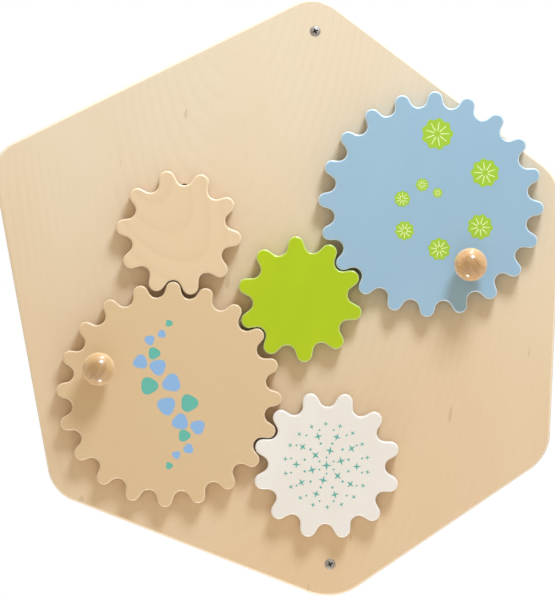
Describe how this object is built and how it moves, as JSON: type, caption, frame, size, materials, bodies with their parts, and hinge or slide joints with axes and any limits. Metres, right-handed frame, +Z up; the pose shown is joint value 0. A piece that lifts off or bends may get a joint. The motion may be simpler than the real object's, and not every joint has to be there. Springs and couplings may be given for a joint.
{
  "type": "gear toy panel",
  "caption": "Wall-mounted wooden gear toy: a six-cornered plywood board with meshing toothed wheels, turned by ball knobs on the large ones.",
  "frame": {"origin": "on the board's back face, at the middle of its outline, where it rests on the wall", "axes": "+Z up the wall, the front and its gears face -Y, +X to the right as seen from the front"},
  "size_m": [0.527, 0.1003, 0.5556],
  "materials": {
    "board_birch": "satin clear lacquer",
    "large_gear_birch": "satin clear lacquer",
    "small_gear_birch": "satin clear lacquer",
    "green_paint": "satin green lacquer on plywood",
    "blue_paint": "satin blue lacquer on plywood",
    "white_paint": "satin white lacquer on plywood",
    "knob_wood": "gloss clear lacquer",
    "screw_steel": "bright zinc plate",
    "axle_steel": "zinc plated, satin",
    "insert_brass": "machined",
    "bush_nylon": "natural nylon",
    "washer_nylon": "black nylon"
  },
  "bodies": {
    "panel": {"board": "board_birch", "wall_screw_top": "screw_steel", "wall_screw_bottom": "screw_steel", "large_bush": "bush_nylon", "large_washer": "washer_nylon", "blue_bush": "bush_nylon", "blue_washer": "washer_nylon", "green_bush": "bush_nylon", "green_washer": "washer_nylon", "small_bush": "bush_nylon", "small_washer": "washer_nylon", "white_bush": "bush_nylon", "white_washer": "washer_nylon"},
    "large_wheel": {"large_gear": "large_gear_birch", "large_insert": "insert_brass", "large_axle": "axle_steel", "large_knob": "knob_wood", "large_knob_screw": "axle_steel"},
    "blue_wheel": {"blue_gear": "blue_paint", "blue_insert": "insert_brass", "blue_axle": "axle_steel", "blue_knob": "knob_wood", "blue_knob_screw": "axle_steel"},
    "green_wheel": {"green_gear": "green_paint", "green_insert": "insert_brass", "green_axle": "axle_steel"},
    "small_wheel": {"small_gear": "small_gear_birch", "small_insert": "insert_brass", "small_axle": "axle_steel"},
    "white_wheel": {"white_gear": "white_paint", "white_insert": "insert_brass", "white_axle": "axle_steel"}
  },
  "joints": [
    {"name": "large_spin", "type": "hinge", "parent": "panel", "child": "large_wheel", "pos_m": [-0.1004, 0, -0.0893], "axis": [0, -1, 0], "continuous": true},
    {"name": "blue_spin", "type": "hinge", "parent": "panel", "child": "blue_wheel", "pos_m": [0.14231, 0, 0.08704], "axis": [0, -1, 0], "continuous": true},
    {"name": "green_spin", "type": "hinge", "parent": "panel", "child": "green_wheel", "pos_m": [0.02095, 0, -0.00113], "axis": [0, -1, 0], "continuous": true},
    {"name": "small_spin", "type": "hinge", "parent": "panel", "child": "small_wheel", "pos_m": [-0.0915, 0, 0.06044], "axis": [0, -1, 0], "continuous": true},
    {"name": "white_spin", "type": "hinge", "parent": "panel", "child": "white_wheel", "pos_m": [0.04542, 0, -0.15514], "axis": [0, -1, 0], "continuous": true}
  ],
  "couplings": [
    {"joint": "green_spin", "follows": "large_spin", "ratio": -2},
    {"joint": "small_spin", "follows": "large_spin", "ratio": -2},
    {"joint": "white_spin", "follows": "large_spin", "ratio": -1.6667},
    {"joint": "blue_spin", "follows": "large_spin", "ratio": 1}
  ]
}
